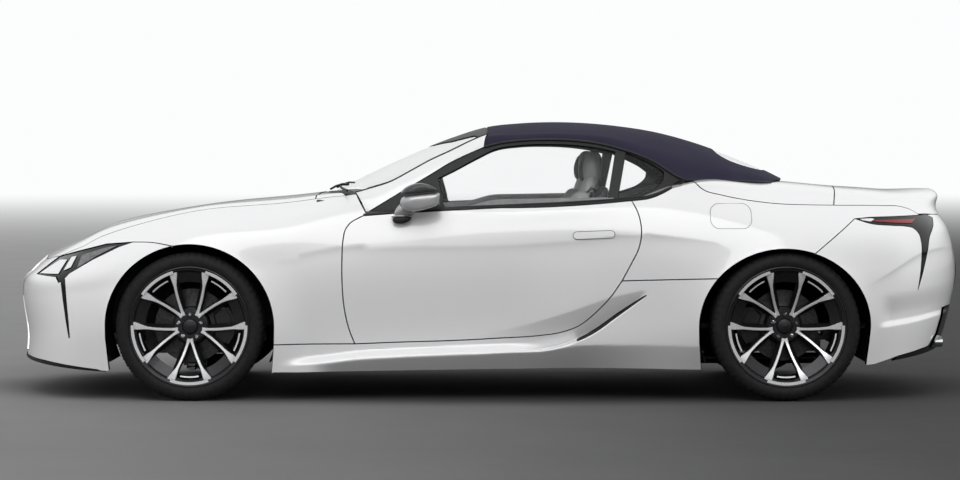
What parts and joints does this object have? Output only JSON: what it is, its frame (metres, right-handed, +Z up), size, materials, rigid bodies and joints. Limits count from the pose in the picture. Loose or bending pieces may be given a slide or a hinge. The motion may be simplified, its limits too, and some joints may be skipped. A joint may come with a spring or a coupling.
{
  "type": "roadster convertible",
  "caption": "Two-seat roadster with a fabric roof raised, long hood, short deck, hinged doors, hood and boot lid, steered front wheels and rolling rear wheels.",
  "frame": {"origin": "on the ground, under the middle of the overall length and width", "axes": "+X towards the tail, -Y towards the car's left side, +Z up"},
  "size_m": [4.7695, 2.02, 1.35],
  "materials": {
    "body_paint": "pearl gloss",
    "underbody": "satin",
    "black_trim": "satin",
    "glass": "clear",
    "roof_fabric": "woven",
    "headlamp": "clear",
    "tail_lamp": "gloss",
    "interior_plastic": "grained",
    "seat_leather": "grained",
    "engine_metal": "cast",
    "bare_steel": "machined",
    "suspension_metal": "cast",
    "caliper_paint": "gloss",
    "wheel_metal": "machined and painted",
    "tyre_rubber": "matte"
  },
  "bodies": {
    "car_body": {"floor_pan": "underbody", "front_bumper": "body_paint", "front_grille": "black_trim", "front_fenders": "body_paint", "rocker_panels": "body_paint", "rear_wings": "body_paint", "rear_bumper": "body_paint", "soft_top_cover": "body_paint", "windscreen_frame": "body_paint", "windscreen": "glass", "soft_top": "roof_fabric", "rear_window": "glass", "quarter_glass": "glass", "headlamps": "headlamp", "tail_lamps": "tail_lamp", "dashboard": "interior_plastic", "console": "interior_plastic", "seats": "seat_leather", "steering_column": "interior_plastic", "engine": "engine_metal", "front_subframe": "suspension_metal", "rear_subframe": "suspension_metal", "exhaust": "bare_steel", "rear_calipers": "caliper_paint"},
    "hood": {"hood": "body_paint"},
    "boot_lid": {"boot_lid": "body_paint"},
    "steering_wheel": {"steering_wheel": "interior_plastic"},
    "steering_rack": {"steering_rack": "bare_steel"},
    "door_left": {"door_left": "body_paint", "door_glass_left": "glass", "mirror_left": "body_paint"},
    "knuckle_left": {"knuckle_left": "suspension_metal", "front_caliper_left": "caliper_paint"},
    "front_wheel_left": {"front_tyre_left": "tyre_rubber", "front_wheel_left": "wheel_metal", "front_brake_disc_left": "bare_steel"},
    "rear_wheel_left": {"rear_tyre_left": "tyre_rubber", "rear_wheel_left": "wheel_metal", "rear_brake_disc_left": "bare_steel"},
    "door_right": {"door_right": "body_paint", "door_glass_right": "glass", "mirror_right": "body_paint"},
    "knuckle_right": {"knuckle_right": "suspension_metal", "front_caliper_right": "caliper_paint"},
    "front_wheel_right": {"front_tyre_right": "tyre_rubber", "front_wheel_right": "wheel_metal", "front_brake_disc_right": "bare_steel"},
    "rear_wheel_right": {"rear_tyre_right": "tyre_rubber", "rear_wheel_right": "wheel_metal", "rear_brake_disc_right": "bare_steel"}
  },
  "joints": [
    {"name": "door_left_hinge", "type": "hinge", "parent": "car_body", "child": "door_left", "pos_m": [-0.7165, -0.919, 0.55], "axis": [0, 0, -1], "range_deg": [0, 62]},
    {"name": "door_right_hinge", "type": "hinge", "parent": "car_body", "child": "door_right", "pos_m": [-0.7165, 0.919, 0.55], "axis": [0, 0, 1], "range_deg": [0, 62]},
    {"name": "hood_hinge", "type": "hinge", "parent": "car_body", "child": "hood", "pos_m": [-0.85, 0, 0.986], "axis": [0, 1, 0], "range_deg": [0, 50]},
    {"name": "boot_lid_hinge", "type": "hinge", "parent": "car_body", "child": "boot_lid", "pos_m": [1.771, 0, 1.0195], "axis": [0, -1, 0], "range_deg": [0, 70]},
    {"name": "steer_left", "type": "hinge", "parent": "car_body", "child": "knuckle_left", "pos_m": [-1.448, -0.785, 0.357], "axis": [0, 0, 1], "range_deg": [-35, 35]},
    {"name": "steer_right", "type": "hinge", "parent": "car_body", "child": "knuckle_right", "pos_m": [-1.448, 0.785, 0.357], "axis": [0, 0, 1], "range_deg": [-35, 35]},
    {"name": "steering_rack_slide", "type": "slide", "parent": "car_body", "child": "steering_rack", "axis": [0, 1, 0], "range_m": [-0.082, 0.082]},
    {"name": "steering_wheel_turn", "type": "hinge", "parent": "car_body", "child": "steering_wheel", "pos_m": [-0.23, -0.37, 0.8], "axis": [0.9063, 0, 0.4226], "range_deg": [-456, 456]},
    {"name": "front_wheel_left_spin", "type": "hinge", "parent": "knuckle_left", "child": "front_wheel_left", "pos_m": [-1.448, -0.815, 0.357], "axis": [0, 1, 0], "continuous": true},
    {"name": "rear_wheel_left_spin", "type": "hinge", "parent": "car_body", "child": "rear_wheel_left", "pos_m": [1.422, -0.8175, 0.357], "axis": [0, 1, 0], "continuous": true},
    {"name": "front_wheel_right_spin", "type": "hinge", "parent": "knuckle_right", "child": "front_wheel_right", "pos_m": [-1.448, 0.815, 0.357], "axis": [0, 1, 0], "continuous": true},
    {"name": "rear_wheel_right_spin", "type": "hinge", "parent": "car_body", "child": "rear_wheel_right", "pos_m": [1.422, 0.8175, 0.357], "axis": [0, 1, 0], "continuous": true}
  ],
  "couplings": [
    {"joint": "steer_right", "follows": "steer_left", "ratio": 1},
    {"joint": "steering_wheel_turn", "follows": "steer_left", "ratio": 13},
    {"joint": "steering_rack_slide", "follows": "steer_left", "m_per_rad": -0.13}
  ]
}
